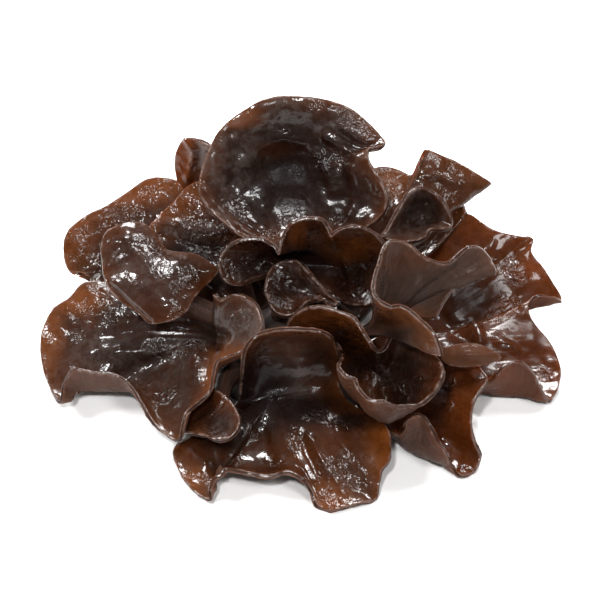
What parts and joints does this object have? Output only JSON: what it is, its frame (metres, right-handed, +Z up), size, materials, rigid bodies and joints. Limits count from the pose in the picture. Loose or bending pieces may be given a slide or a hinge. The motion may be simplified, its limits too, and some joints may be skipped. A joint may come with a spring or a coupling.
{
  "type": "wood ear mushroom clump",
  "caption": "Clump of ruffled, soaked wood ear fungus on one foot cut flat underneath: thin rubbery ears, dark and glossy above with translucent amber edges.",
  "frame": {"origin": "the middle of the foot's flat cut, which lies on the table", "axes": "+Z up from the table, -Y towards the viewer of the picture, +X to the viewer's right"},
  "size_m": [0.1431, 0.1068, 0.064],
  "materials": {
    "foot_skin": "matte, pale brown flesh of the cut foot",
    "dark_ear": "wet, glossy near-black brown",
    "brown_ear": "wet, glossy red-brown",
    "amber_ear": "wet, glossy amber-brown, slightly translucent",
    "pale_ear": "damp, dull grey-brown underside turned outwards"
  },
  "bodies": {
    "root": {"foot": "foot_skin", "ear_top": "dark_ear", "ear_left_small": "dark_ear", "ear_front_curl": "dark_ear", "ear_centre_front": "dark_ear", "ear_centre_left": "dark_ear", "ear_centre_back": "dark_ear", "ear_right_upper": "dark_ear", "ear_left_front": "brown_ear", "ear_back_left": "brown_ear", "ear_left_inner": "brown_ear", "ear_back_right_top": "brown_ear", "ear_front": "brown_ear", "ear_behind_left": "brown_ear", "ear_behind_right": "brown_ear", "ear_back": "amber_ear", "ear_back_right": "amber_ear", "ear_right_front": "amber_ear", "ear_right_mid": "pale_ear", "ear_right_stub": "pale_ear"}
  },
  "joints": []
}
